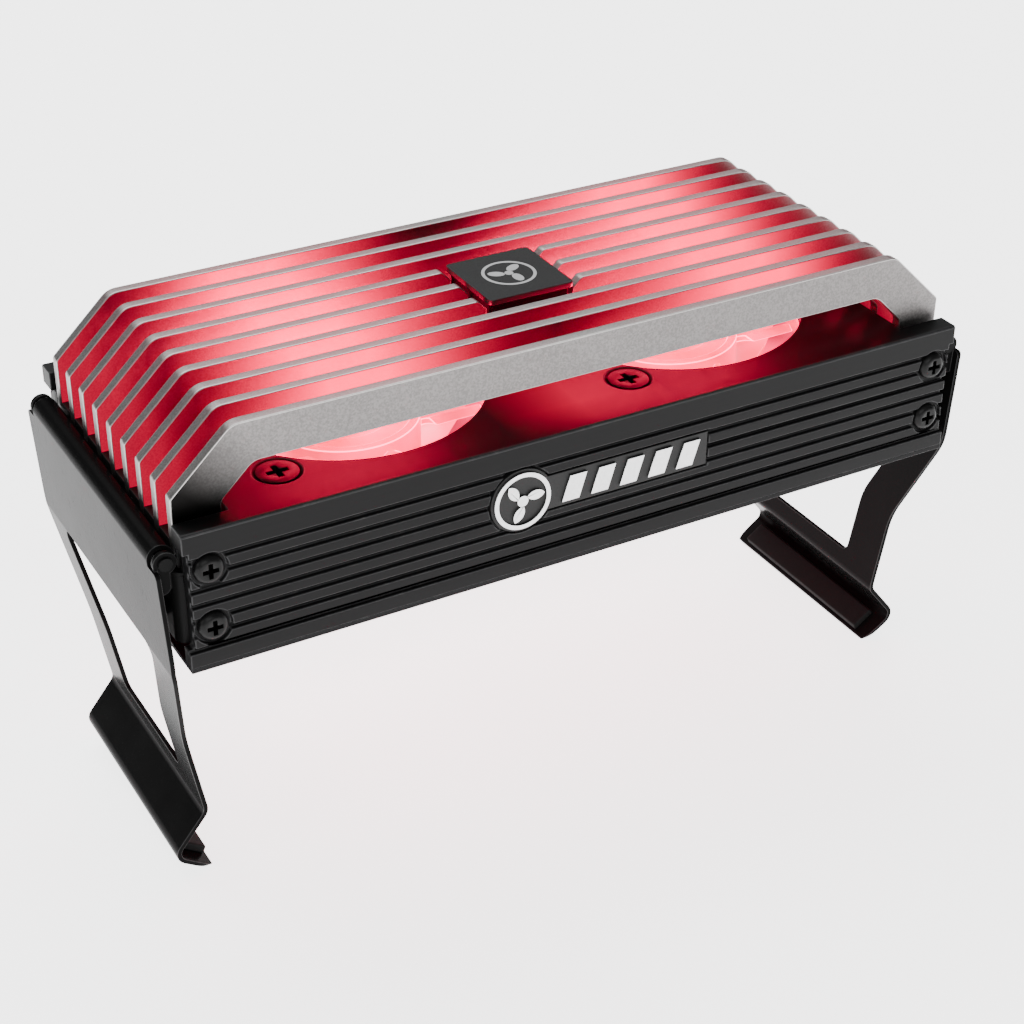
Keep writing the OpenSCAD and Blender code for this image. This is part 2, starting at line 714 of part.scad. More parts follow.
function clip_outline() = rounded(mirrored([
    [hood_w / 2, 0, 0], [hood_w / 2, -panel_top, 0.3], [clip_w / 2, -panel_top, 0.8],
    [clip_w / 2, -panel_h, 14], [leg_w / 2, -panel_h - 18.5, 14], [leg_w / 2, 3 - clip_h, 0],
    [foot_w / 2, -clip_h, 2]]));
function clip_window() = rounded(mirrored([
    [clip_w / 2 - leg_side, -panel_h, 2], [leg_w / 2 - leg_side + 0.2, -panel_h - 17.3, 12],
    [leg_w / 2 - leg_side, 3.7 - leg_end, 1.5]]));

module clip_ear() {
    difference() {
        union() {
            translate([hinge_x, hinge_z]) circle(r = ear_r);
            translate([wall_out + 0.4, -ear_z + ear_tip_r])
                square([2 * ear_tip_r, ear_z - ear_tip_r + hinge_z]);
            translate([wall_out + 0.4 + ear_tip_r, -ear_z + ear_tip_r]) circle(r = ear_tip_r);
        }
        translate([hinge_x, hinge_z]) circle(r = pin_r + running);
    }
}

module clip(s) color(black) on_deck() side(s) {
    intersection() {
        slab_y(clip_w + 2) polygon(sheet(clip_path(), clip_t));
        slab_x(hinge_x - 20, 40) difference() {
            polygon(clip_outline());
            polygon(clip_window());
        }
    }
    for (y = [-1, 1]) translate([0, y * (ear_y + ear_t / 2), 0]) slab_y(ear_t) clip_ear();
}
module clip_left() clip(-1);
module clip_right() clip(1);

// A rubber strip on the inside of the hook's lip
module grip_pad(s) color([0.12, 0.12, 0.12]) on_deck() side(s) {
    along = unit(clip_heel() - clip_tip());
    up = [-along.y, along.x];
    start = clip_tip() + along * 0.6 + up * (clip_t / 2 + seat);
    pad_w = norm(clip_heel() - clip_tip()) - 0.6;
    slab_y(foot_w - 6) polygon([start, start + along * pad_w, start + along * (pad_w - 0.4) + up * pad_t,
        start + along * 0.3 + up * pad_t]);
}
module grip_pad_left() grip_pad(-1);
module grip_pad_right() grip_pad(1);

module hinge_pin(s) color(steel) on_deck() side(s) translate([hinge_x, 0, hinge_z]) {
    rod_y(-pin_l / 2, pin_l / 2, pin_r);
    rod_y(-pin_l / 2 - pin_head_h, -pin_l / 2, pin_head_r);
    rod_y(pin_l / 2, pin_l / 2 + pin_head_h, pin_head_r);
}
module hinge_pin_left() hinge_pin(-1);
module hinge_pin_right() hinge_pin(1);

// Torsion spring: a leg up the panel, a coil round the pin and a leg down the wall
function coil_point(a) = [coil_r * cos(a), (a / 360 - coil_turns / 2) * coil_pitch, coil_r * sin(a)];
function spring_path() =
    let (last = 360 * coil_turns)
    let (out = [-sin(panel_lean), 0, -cos(panel_lean)], in = [sin(wall_lean), 0, -cos(wall_lean)])
    concat(
        [for (l = [leg_l, leg_l / 2]) coil_point(0) + l * out],
        [for (i = [0:coil_steps * coil_turns]) coil_point(360 * i / coil_steps)],
        [for (l = [leg_l / 2, leg_l]) coil_point(last) + l * in]);
// Round bar of radius r along a path that lies nearly square to Y
module wire(path, r, sides = 6) {
    n = len(path);
    points = [for (i = [0:n - 1])
        let (t = unit(path[min(i + 1, n - 1)] - path[max(i - 1, 0)]))
        let (a = unit(cross(t, [0, 1, 0])), b = cross(t, a))
        for (k = [0:sides - 1]) path[i] + r * (cos(360 * k / sides) * a + sin(360 * k / sides) * b)];
    sides_faces = [for (i = [0:n - 2], k = [0:sides - 1])
        let (a = i * sides + k, b = i * sides + (k + 1) % sides)
        each [[a, b, b + sides], [a, b + sides, a + sides]]];
    ends = [[for (k = [sides - 1:-1:0]) k], [for (k = [0:sides - 1]) (n - 1) * sides + k]];
    polyhedron(points, concat(sides_faces, ends));
}

module torsion_spring(s) color(steel) on_deck() side(s) translate([hinge_x, 0, hinge_z])
    wire(spring_path(), wire_d / 2);
module torsion_spring_left() torsion_spring(-1);
module torsion_spring_right() torsion_spring(1);

body_channel();
bottom_plate();
end_bracket_left();
end_bracket_right();
fin_rail_left();
fin_rail_right();
fin_1();
fin_2();
fin_3();
fin_4();
fin_5();
fin_6();
fin_7();
fin_8();
fin_9();
badge_base();
badge_plate();
emblem_base();
emblem();
cable_grommet();
fan_frame_left();
fan_frame_right();
fan_rotor_left();
fan_rotor_right();
rotor_cup_left();
rotor_cup_right();
rotor_magnet_left();
rotor_magnet_right();
rotor_shaft_left();
rotor_shaft_right();
bearing_left();
bearing_right();
stator_core_left();
stator_core_right();
stator_coils_left();
stator_coils_right();
fan_board_left();
fan_board_right();
leds_left();
leds_right();
junction_board();
board_sockets();
fan_leads();
fan_screws();
skirt_screws();
bottom_screws();
clip_left();
clip_right();
grip_pad_left();
grip_pad_right();
hinge_pin_left();
hinge_pin_right();
torsion_spring_left();
torsion_spring_right();
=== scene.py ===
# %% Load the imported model, which is the frame for everything
import json
import math

import bpy
from mathutils import Matrix, Vector

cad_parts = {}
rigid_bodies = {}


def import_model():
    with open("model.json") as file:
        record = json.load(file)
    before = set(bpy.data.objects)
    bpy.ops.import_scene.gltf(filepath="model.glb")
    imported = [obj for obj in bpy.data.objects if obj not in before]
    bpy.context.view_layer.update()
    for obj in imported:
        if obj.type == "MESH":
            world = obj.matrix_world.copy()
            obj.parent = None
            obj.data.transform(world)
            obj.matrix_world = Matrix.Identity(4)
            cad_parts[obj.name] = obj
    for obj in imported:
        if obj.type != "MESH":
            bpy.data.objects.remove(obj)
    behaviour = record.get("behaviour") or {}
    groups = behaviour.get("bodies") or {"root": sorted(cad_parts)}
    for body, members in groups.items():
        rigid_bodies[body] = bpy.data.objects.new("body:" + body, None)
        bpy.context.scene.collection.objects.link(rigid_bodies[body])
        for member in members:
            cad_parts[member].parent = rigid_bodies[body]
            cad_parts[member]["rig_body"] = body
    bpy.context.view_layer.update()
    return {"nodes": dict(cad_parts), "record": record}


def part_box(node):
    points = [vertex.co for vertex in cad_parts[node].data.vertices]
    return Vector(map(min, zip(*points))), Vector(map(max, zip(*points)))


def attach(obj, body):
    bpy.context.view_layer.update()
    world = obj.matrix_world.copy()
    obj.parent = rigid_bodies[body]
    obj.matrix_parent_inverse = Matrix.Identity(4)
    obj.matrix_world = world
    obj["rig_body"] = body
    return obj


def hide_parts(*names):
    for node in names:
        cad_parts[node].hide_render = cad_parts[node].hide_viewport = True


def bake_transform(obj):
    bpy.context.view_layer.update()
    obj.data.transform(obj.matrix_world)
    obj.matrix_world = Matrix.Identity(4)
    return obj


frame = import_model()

MM = 0.001
SIDES = ("left", "right")

# %% [markdown]
# # A clip-on cooling fan unit for memory modules
# The unit is a black grooved aluminium housing with two lit fans, nine bare aluminium fins over
# them, and a long sprung clip at each end. Its sizes, its joints and the place of each piece come
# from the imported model. This file gives the pieces their finish, and replaces the ones whose
# real detail is finer than the model's: rounded edges, screw recesses, wound springs.
# We start with the camera, because every later choice is judged through it. It could be aimed
# with a constraint, but a plain matrix from its place, its target and its roll is easier to read.

# %% Camera
EYE = Vector((-154.93, -272.88, 230.76)) * MM
TARGET = Vector((0.04, -1.75, 38.93)) * MM
ROLL = 0.010

back = (EYE - TARGET).normalized()
right = Vector((0, 0, 1)).cross(back).normalized()
up = back.cross(right)
right, up = (right * math.cos(ROLL) + up * math.sin(ROLL),
             up * math.cos(ROLL) - right * math.sin(ROLL))
lens = bpy.data.cameras.new("camera")
lens.lens = 73.16
lens.sensor_width = 36
lens.clip_start = 0.01
camera = bpy.data.objects.new("camera", lens)
bpy.context.scene.collection.objects.link(camera)
camera.matrix_world = Matrix.Translation(EYE) @ Matrix((right, up, back)).transposed().to_4x4()
bpy.context.scene.camera = camera
print("camera at", [round(v / MM) for v in EYE])

# %% [markdown]
# ## Light
# A product like this is lit by large soft boxes, high up in front and behind, so that the floor
# burns out pale and every upright face is filled by the light that the floor throws back. A box
# straight overhead would shine down between the fins and drown the red glow there. Small lamps
# would draw hard highlights along the clips. A weak even sky keeps the hollows readable.

# %% Lamps and sky
def soft_box(name, place, aim, size, power):
    lamp = bpy.data.lights.new(name, "AREA")
    lamp.shape = "RECTANGLE"
    lamp.size, lamp.size_y = size
    lamp.energy = power
    box = bpy.data.objects.new(name, lamp)
    bpy.context.scene.collection.objects.link(box)
    away = Vector(place) - Vector(aim)
    box.matrix_world = Matrix.Translation(place) @ away.to_track_quat("Z", "Y").to_matrix().to_4x4()

soft_box("rear_light", (0.2, 1.5, 2.1), (0, 0, 0), (2.6, 1.6), 62)
soft_box("front_light", (-0.8, -2.2, 1.45), (0, 0, 0), (1.8, 1.2), 34)
soft_box("left_light", (-1.8, -0.3, 0.9), (0, 0, 0.05), (0.8, 0.8), 9)
sky = bpy.data.worlds.new("sky")
sky.use_nodes = True
sky.node_tree.nodes["Background"].inputs["Color"].default_value = (0.95, 0.97, 1, 1)
sky.node_tree.nodes["Background"].inputs["Strength"].default_value = 0.18
bpy.context.scene.world = sky

# %% [markdown]
# ## Tools for finishes
# A finish is a set of shader nodes. Wiring them one link at a time hides the arithmetic, so a
# socket is wrapped in a small class: adding or multiplying two of them adds the Math node that
# does it. Every other node comes from one method that takes its type, settings and inputs.

# %% Arithmetic on sockets
class Value:
    """A number that varies over a surface. Arithmetic on it adds Math nodes."""

    def __init__(self, finish, socket):
        self.finish = finish
        self.socket = socket

    def _math(self, operation, a, b=0.0):
        return self.finish.add("ShaderNodeMath", {"operation": operation}, {0: a, 1: b})

    def __add__(self, other):
        return self._math("ADD", self, other)

    def __sub__(self, other):
        return self._math("SUBTRACT", self, other)

    def __rsub__(self, other):
        return self._math("SUBTRACT", other, self)

    def __mul__(self, other):
        return self._math("MULTIPLY", self, other)

    __radd__ = __add__
    __rmul__ = __mul__

    def abs(self):
        return self._math("ABSOLUTE", self)

    def power(self, exponent):
        return self._math("POWER", self, exponent)

print("arithmetic ready")

# %% One finish, its nodes and its usual patterns
class Finish:
    """A material. Patterns are measured in millimetres on the piece itself."""

    def __init__(self, name, **fixed):
        self.material = bpy.data.materials.new(name)
        self.material.use_nodes = True
        self.tree = self.material.node_tree
        self.shader = self.tree.nodes["Principled BSDF"]
        self.place = self.add("ShaderNodeTexCoord", out="Object")
        self.set(**fixed)

    def add(self, kind, settings=None, inputs=None, out=0):
        """A node of a kind, whose settings come first and then its inputs. Gives one output."""
        node = self.tree.nodes.new(kind)
        for key, value in (settings or {}).items():
            setattr(node, key, value)
        for key, value in (inputs or {}).items():
            self.link(value, node.inputs[key])
        return Value(self, node.outputs[out])

    def link(self, value, socket):
        if isinstance(value, Value):
            self.tree.links.new(value.socket, socket)
        else:
            socket.default_value = value

    def set(self, **inputs):
        for name, value in inputs.items():
            self.link(value, self.shader.inputs[name.replace("_", " ")])

    def axis(self, letter):
        """One coordinate of the place on the piece, in metres."""
        return self.add("ShaderNodeSeparateXYZ", {}, {0: self.place}, out=letter)

    def stretched(self, x=1.0, y=1.0, z=1.0):
        return self.add("ShaderNodeVectorMath", {"operation": "MULTIPLY"},
                        {0: self.place, 1: (x, y, z)})

    def noise(self, size, detail=2.0, where=None, rough=0.5):
        """Cloudy noise, 0 to 1, whose lumps are about size mm across."""
        return self.add("ShaderNodeTexNoise", {},
                        {"Vector": where or self.place, "Scale": 1 / (size * MM),
                         "Detail": detail, "Roughness": rough})

    def cells(self, size):
        """Distance to the nearest of many scattered points, size mm apart."""
        return self.add("ShaderNodeTexVoronoi", {},
                        {"Vector": self.place, "Scale": 1 / (size * MM)})

    def ramp(self, value, low, high):
        """The value stretched so that low gives 0 and high gives 1."""
        return self.add("ShaderNodeMapRange", {}, {0: value, 1: low, 2: high, 3: 0.0, 4: 1.0})

    def mix(self, factor, first, second):
        """A colour between two colours."""
        return self.add("ShaderNodeMix", {"data_type": "RGBA"},
                        {0: factor, 6: first, 7: second}, out=2)

    def bump(self, height, depth):
        """Relief whose height of 1 stands depth mm proud."""
        return self.add("ShaderNodeBump", {},
                        {"Height": height, "Distance": depth * MM, "Strength": 1.0})

def grey(level, tint=(1, 1, 1)):
    return (level * tint[0], level * tint[1], level * tint[2], 1)

print("finish tools ready")

# %% [markdown]
# ## Black finishes
# The housing is extruded aluminium, bead blasted and anodised black. Anodising keeps the metal's
# fine grain, wears pale where a hand rubs an edge, and is duller than paint. So the grain is a
# bump a fifth of a millimetre wide, and the edges get a finish of their own from the bevel: a few
# scuffs of wear, and a lighter colour that paints the thin highlight along them. The deck between
# the fans glows faintly red, which stands for light that is thrown back many times between the
# deck and the fins. Many more light bounces would show it too, at a far higher cost.

# %% Anodised aluminium
def anodised(name, level, rough, wear=0.0, gloss=0.09, lit=False):
    f = Finish(name, IOR=1.45, Specular_IOR_Level=gloss)
    grain = f.noise(0.18, 3)
    cloud = f.noise(14, 3)
    drawn = f.noise(0.5, 2, f.stretched(0.02, 1, 1))
    scuffs = f.ramp(f.noise(3.2, 5, rough=0.7), 0.52, 0.75)
    colour = f.mix(cloud * 0.6 + drawn * 0.4, grey(level * 0.7), grey(level * 1.35, (1, 1, 1.04)))
    colour = f.mix(scuffs * wear, colour, grey(0.22, (1, 0.98, 0.95)))
    f.set(Base_Color=colour, Roughness=rough + grain * 0.10 + cloud * 0.08 - 0.09,
          Normal=f.bump(grain * 0.7 + drawn * 0.3, 0.010))
    if lit:
        near_middle = f.ramp(f.axis("X").abs(), 15 * MM, 0)
        away_from_edge = f.ramp(f.axis("Y").abs(), 31 * MM, 23 * MM)
        f.set(Emission_Strength=1.0,
              Emission_Color=f.mix(near_middle * away_from_edge, (0, 0, 0, 1), (0.6, 0, 0.033, 1)))
    return f.material

housing_black = anodised("anodised_housing", 0.006, 0.42)
# The edge finish is five times lighter than the housing: a painted highlight along the edge, with a
# few scuffs of wear.
housing_edge_wear_and_highlight = anodised("anodised_housing_edge", 0.03, 0.34, wear=0.12)
deck_black = anodised("anodised_deck", 0.0035, 0.38, gloss=0.15, lit=True)
plate_black = anodised("bottom_plate_black", 0.006, 0.5)
print("anodised finishes made")

# %% Painted spring steel, for the clips and brackets
def painted(name, level, rough, index):
    f = Finish(name, IOR=index, Specular_IOR_Level=0.5)
    peel = f.noise(0.9, 2)
    dust = f.ramp(f.cells(1.3), 0.10, 0.04)
    streak = f.ramp(f.noise(0.35, 4, f.stretched(1, 1, 0.06), 0.6), 0.62, 0.72)
    cloud = f.noise(9, 3)
    f.set(Base_Color=f.mix(cloud, grey(level * 0.8), grey(level * 1.3)),
          Roughness=rough + cloud * 0.08 + streak * 0.10 + dust * 0.08,
          Normal=f.bump(peel * 0.9 + streak * 0.1, 0.012))
    return f.material

clip_black = painted("clip_paint", 0.005, rough=0.2, index=1.065)
# The edge finish is about three times lighter than the clip: worn paint in part, and in part a
# painted highlight along the edge.
clip_edge_wear_and_highlight = painted("clip_paint_edge", 0.016, rough=0.28, index=1.25)
bracket_black = painted("bracket_paint", 0.005, rough=0.38, index=1.12)
screw_black = painted("screw_black_oxide", 0.005, rough=0.28, index=1.2)
# Darker than the screw heads: painted shade inside the cross recess.
recess_painted_shade = painted("screw_recess_painted_shade", 0.0012, rough=0.4, index=1.08)
print("painted finishes made")

# %% [markdown]
# ## Plastics and rubber
# Moulded plastic copies the spark-eroded texture of its mould, which scattered cells imitate
# better than smooth noise. Rubber is duller, with a powdery bloom in its hollows.

# %% Moulded plastic and rubber
def moulded(name, colour, rough, texture=0.35, depth=0.012, sheen=0.5):
    f = Finish(name, IOR=1.49, Specular_IOR_Level=sheen)
    spark = f.cells(texture)
    cloud = f.noise(6, 3)
    darker = tuple(c * 0.8 for c in colour[:3]) + (1,)
    f.set(Base_Color=f.mix(cloud, darker, colour), Roughness=rough + spark * 0.12 + cloud * 0.06,
          Normal=f.bump(spark * 0.7 + f.noise(texture * 0.5, 3) * 0.3, depth))
    return f.material

rail_black = moulded("rail_plastic", grey(0.008), rough=0.45, sheen=0.2)
badge_black = moulded("badge_plastic", grey(0.008), rough=0.38, texture=0.25, depth=0.008,
                      sheen=0.2)
frame_black = moulded("badge_frame_plastic", grey(0.0015), rough=0.65, texture=0.2, depth=0.01,
                      sheen=0.02)
socket_white = moulded("socket_plastic", (0.8, 0.78, 0.7, 1), rough=0.4)
wire_black = moulded("wire_plastic", grey(0.03), rough=0.4, texture=0.5)
board_green = moulded("solder_mask", (0.01, 0.11, 0.035, 1), rough=0.3, texture=0.9, depth=0.02)
magnet_grey = moulded("bonded_ferrite", grey(0.05), rough=0.6, texture=0.2)
pad_rubber = moulded("pad_rubber", grey(0.008), rough=0.72, texture=0.22, depth=0.02, sheen=0.15)
print("plastics made")

# %% [markdown]
# ## Bare metals
# The fins are stamped from sheet, blasted and clear anodised, which leaves a satin silver with a
# fine sandy grain and a faint direction from rolling. The emblem is polished, so it shows only
# hairlines. Shafts and springs are drawn steel, the hinge pins are painted black, and the
# windings are enamelled copper.
# A fin has four finishes: its tops, its broken edges, its two faces that look at other fins, and
# the outer face of the first and last fin. They are one aluminium in four tones: the broken edges
# are lighter than the tops, a painted highlight, and the faces are darker, a painted shade that is
# deepest on the inner faces, between the fins. The outer face is also painted darker down its left
# slope and towards its feet. The inner faces carry red emission over the fans and at the feet.
# Lamps alone could do this only if they filled every gap, and would then spill out.

# %% Satin fins, polished emblem, drawn and turned parts
def bare_metal(name, colour, rough, grain_size, depth, run=(1, 1, 1), hairlines=0.0, speckle=0.12,
               shade=None, glow=None):
    f = Finish(name, Metallic=1.0)
    grain = f.noise(grain_size, 4, rough=0.65)
    sand = f.ramp(f.noise(grain_size, 2), 0.36, 0.64)
    rolled = f.noise(grain_size * 2, 3, f.stretched(*run))
    cloud = f.noise(11, 4)
    hair = f.ramp(f.noise(0.12, 2, f.stretched(0.04, 1, 1)), 0.6, 0.75) * hairlines
    low = tuple(c * (1 - speckle) for c in colour) + (1,)
    high = tuple(min(c * (1 + speckle), 1) for c in colour) + (1,)
    tone = f.mix(cloud * 0.35 + sand * 0.65, low, high)
    # Painted shade: the colour darkens down the left slope and towards the feet.
    if shade:
        down_slope = f.add("ShaderNodeVectorMath", {"operation": "DOT_PRODUCT"},
                           {0: f.place, 1: (1, 0, 1)}, out="Value")
        dark = tuple(c * 0.06 for c in colour) + (1,)
        tone = f.mix(f.ramp(down_slope, *shade).power(1.3), dark, tone)
    f.set(Base_Color=tone, Roughness=rough + grain * 0.12 + rolled * 0.08 + hair * 0.2 - 0.1,
          Normal=f.bump(grain * 0.6 + rolled * 0.4 + hair * 0.3, depth))
    if glow:
        f.set(Emission_Strength=1.0, Emission_Color=glow(f, sand))
    return f.material

def near_fans(f):
    """Distance from the middle of the housing, and how near the middle of a fan is, 0 to 1."""
    across = f.axis("X").abs()
    return across, f.ramp(across, 2 * MM, 32 * MM) * f.ramp(across, 64 * MM, 42 * MM)

def caught_light(f, sand):
    """Red light of the fans held between the fins: over the fans and down at the feet."""
    across, near = near_fans(f)
    feet = f.ramp(across, 61 * MM, 67 * MM)
    level = near.power(3) * 0.75 + near * 0.08 + feet * 0.11 + f.noise(14, 2) * 0.08 - 0.03
    return f.mix(level * (sand * 0.12 + 0.88), (0.008, 0.0, 0.001, 1), (5.5, 0.0, 0.33, 1))

def scattered_light(f, sand):
    """Red light of the fans, painted as a faint glow on the tops of the fins."""
    return f.mix(near_fans(f)[1], (0, 0, 0, 1), (0.22, 0.0, 0.012, 1))

BLASTED = {"grain_size": 0.32, "depth": 0.02, "run": (0.05, 1, 1)}
fin_silver = bare_metal("fin_satin_aluminium", (0.25, 0.237, 0.232), 0.42, **BLASTED, speckle=0.22,
                        glow=scattered_light)
# The inner faces are far darker than the tops: painted shade between the fins, under their red
# glow.
fin_lit = bare_metal("fin_lit_face", (0.08, 0.072, 0.07), 0.34, **BLASTED, speckle=0.2,
                     glow=caught_light)
# The outer face is darker than the tops, and darker still down its left slope and towards its feet:
# painted shade.
fin_outer = bare_metal("fin_outer_face_painted_shade", (0.165, 0.156, 0.153), 0.44, **BLASTED, speckle=0.25,
                       shade=(6 * MM, 24 * MM))
# The broken edges are lighter than the tops: a painted highlight.
fin_edge_highlight = bare_metal("fin_edge_aluminium", (0.4, 0.385, 0.375), 0.36,
                      grain_size=0.3, depth=0.006)
emblem_silver = bare_metal("emblem_polished", (0.6, 0.6, 0.6), 0.14,
                           grain_size=0.3, depth=0.002, hairlines=0.5)
steel = bare_metal("drawn_steel", (0.5, 0.5, 0.51), 0.34,
                   grain_size=0.15, depth=0.004, run=(1, 0.05, 1), hairlines=0.5)
brass = bare_metal("turned_brass", (0.7, 0.5, 0.22), 0.3,
                   grain_size=0.15, depth=0.004, run=(1, 1, 0.05))
copper = bare_metal("enamelled_copper", (0.7, 0.3, 0.13), 0.3,
                    grain_size=0.4, depth=0.05, run=(1, 1, 0.1))
print("metals made")

# %% [markdown]
# ## Lit plastic
# The fans are clear plastic with red lamps in their corners. The light runs through the plastic,
# washes out to pink where it is strongest and stays red where it is weak. Real refraction would
# need very many samples to come out clean, so the plastic glows by itself in a cloudy pattern, and
# a disk-shaped lamp over each rotor throws the same red up on the fins.

# %% Lit plastic and lamps
def lit_plastic(name, colour, weak, strong, strength, rough):
    f = Finish(name, IOR=1.49, Emission_Strength=strength, Specular_IOR_Level=0.6)
    cloud = f.ramp(f.noise(13, 1), 0.3, 0.7)
    frost = f.noise(0.4, 3)
    f.set(Base_Color=f.mix(cloud, colour, tuple(c * 0.85 for c in colour[:3]) + (1,)),
          Roughness=rough + frost * 0.12, Emission_Color=f.mix(cloud, weak, strong),
          Normal=f.bump(frost, 0.008))
    return f.material

frame_glow = lit_plastic("frame_lit_plastic", (0.4, 0.04, 0.07, 1),
                         (0.28, 0, 0.022, 1), (1, 0.005, 0.09, 1), strength=4.2, rough=0.25)
frame_dim = lit_plastic("frame_outer_wall", (0.25, 0.02, 0.04, 1),
                        (0.1, 0, 0.01, 1), (0.3, 0, 0.03, 1), strength=0.25, rough=0.25)
blade_glow = lit_plastic("blade_lit_plastic", (0.4, 0.05, 0.08, 1),
                         (0.3, 0, 0.024, 1), (1, 0.01, 0.1, 1), strength=5, rough=0.25)
edge_glow = lit_plastic("lit_plastic_edges", (0.8, 0.2, 0.25, 1),
                        (0.7, 0.01, 0.07, 1), (1, 0.03, 0.14, 1), strength=14, rough=0.2)
lamp_red = lit_plastic("lamp_lens", (1, 0.1, 0.12, 1),
                       (1, 0.05, 0.1, 1), (1, 0.2, 0.25, 1), strength=12, rough=0.1)
print("lit plastics made")

# %% Lamps inside the fans
LAMP_RED = (1.0, 0.0, 0.07)
for side in SIDES:
    low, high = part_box(f"fan_rotor_{side}")
    glow = bpy.data.lights.new(f"fan_glow_{side}", "AREA")
    glow.shape = "DISK"
    glow.size = 34 * MM
    glow.energy = 0.8
    glow.color = LAMP_RED
    lamp = bpy.data.objects.new(glow.name, glow)
    lamp.location = ((low.x + high.x) / 2, 0, high.z + 0.6 * MM)
    lamp.rotation_euler = (math.pi, 0, 0)
    lamp.visible_camera = False
    bpy.context.scene.collection.objects.link(lamp)
print("fan lamps placed at height", round(high.z / MM, 1))

# %% [markdown]
# ## From imported solid to finished piece
# A imported solid is a heap of loose triangles with knife-sharp edges. Real edges are broken, and
# the thin line of light along them is most of what makes metal look real. Each visible solid is
# copied, its triangles are merged back into whole faces, and a bevel modifier breaks the edges.
# The bevel's own faces can carry a second, lighter finish, which paints a highlight along the edge
# and is also where wear shows.

# %% Selecting, and joining a new piece to the frame
def only(piece):
    bpy.ops.object.select_all(action="DESELECT")
    piece.select_set(True)
    bpy.context.view_layer.objects.active = piece

def mount(piece, slot, *cad_names, body=None):
    """Make the piece ride on the body of the solids it stands for, and hide them."""
    body = body or frame["nodes"][cad_names[0]]["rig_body"]
    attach(piece, body)
    if cad_names:
        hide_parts(*cad_names)
    return piece

def apply_all(piece):
    only(piece)
    for modifier in list(piece.modifiers):
        bpy.ops.object.modifier_apply(modifier=modifier.name)

slots = {part["node"]: part["material_slot"] for part in frame["record"]["subparts"]}
print("material slots", sorted(set(slots.values())))

# %% Copy of a solid with broken edges
def broken_edges(node, name, width, finish, edge_finish=None, steps=2, limit=35, shape=None):
    source = frame["nodes"][node]
    piece = bpy.data.objects.new(name, source.data.copy())
    bpy.context.scene.collection.objects.link(piece)
    piece.data.name = name
    piece.data.materials.clear()
    piece.data.materials.append(finish)
    piece.data.materials.append(edge_finish or finish)
    only(piece)
    bpy.ops.object.mode_set(mode="EDIT")
    bpy.ops.mesh.select_all(action="SELECT")
    bpy.ops.mesh.remove_doubles(threshold=2e-6)
    bpy.ops.mesh.dissolve_limited(angle_limit=math.radians(0.5))
    bpy.ops.object.mode_set(mode="OBJECT")
    if shape:
        shape(piece)
    bevel = piece.modifiers.new("broken edges", "BEVEL")
    bevel.width = width * MM
    bevel.segments = steps
    bevel.limit_method = "ANGLE"
    bevel.angle_limit = math.radians(limit)
    bevel.use_clamp_overlap = False
    bevel.material = 1 if edge_finish else -1
    apply_all(piece)
    bpy.ops.object.shade_smooth_by_angle(angle=math.radians(32))
    flat = piece.modifiers.new("flat faces stay flat", "WEIGHTED_NORMAL")
    flat.keep_sharp = True
    apply_all(piece)
    return mount(piece, slots[node], node)

deck_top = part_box("body_channel")[1].z
shell = broken_edges("body_channel", "housing_shell", 0.18, housing_black, housing_edge_wear_and_highlight)
shell.data.materials.append(deck_black)
deck_faces = [face for face in shell.data.polygons
              if face.center.z > deck_top - 0.1 * MM and face.normal.z > 0.99]
for face in deck_faces:
    face.material_index = 2
print("deck faces", len(deck_faces))
broken_edges("bottom_plate", "bottom_cover", 0.1, plate_black, housing_edge_wear_and_highlight)
print("housing finished")

# %% Fins, rails and badge
FINS = 9
for number in range(1, FINS + 1):
    plate = broken_edges(f"fin_{number}", f"fin_plate_{number}", 0.2, fin_silver, fin_edge_highlight)
    # The way the fin looks out of the row: -Y for the first, +Y for the last, 0 for the rest
    outward = {1: -1, FINS: 1}.get(number, 0)
    plate.data.materials.append(fin_lit)
    plate.data.materials.append(fin_outer)
    for face in plate.data.polygons:
        if abs(face.normal.y) > 0.99:
            face.material_index = 3 if face.normal.y * outward > 0 else 2
for side in SIDES:
    broken_edges(f"fin_rail_{side}", f"fin_comb_{side}", 0.12, rail_black)
broken_edges("badge_base", "badge_frame", 0.12, frame_black)
broken_edges("badge_plate", "badge_cover", 0.16, badge_black)
broken_edges("emblem_base", "emblem_pad", 0.12, badge_black)
broken_edges("emblem", "emblem_mark", 0.10, emblem_silver)
print("fins, rails and badge finished")

# %% [markdown]
# The top of a fan hub is moulded with a raised rim and a dished middle, which stiffens it and
# catches the light in rings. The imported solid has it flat, so its top face is inset and sunk.

# %% Choosing faces in code, and the stepped fan hub
def pick_faces(piece, wanted):
    """Select the faces for which wanted(face) is true, and leave the piece in edit mode."""
    only(piece)
    bpy.ops.object.mode_set(mode="EDIT")
    bpy.ops.mesh.select_mode(type="FACE")
    bpy.ops.mesh.select_all(action="DESELECT")
    bpy.ops.object.mode_set(mode="OBJECT")
    for face in piece.data.polygons:
        face.select = wanted(face)
    bpy.ops.object.mode_set(mode="EDIT")

def step_hub(piece):
    top = max(v.co.z for v in piece.data.vertices)
    hub_area = 100 * MM * MM
    pick_faces(piece, lambda face: face.normal.z > 0.99 and face.center.z > top - 0.05 * MM
               and face.area > hub_area)
    for rim, sink in ((1.6, -0.5), (3.6, -0.4), (2.6, 0.5)):
        bpy.ops.mesh.inset(thickness=rim * MM)
        bpy.ops.mesh.extrude_region_move(TRANSFORM_OT_translate={"value": (0, 0, sink * MM)})
    bpy.ops.object.mode_set(mode="OBJECT")
    print(piece.name, "hub steps, faces", len(piece.data.polygons))

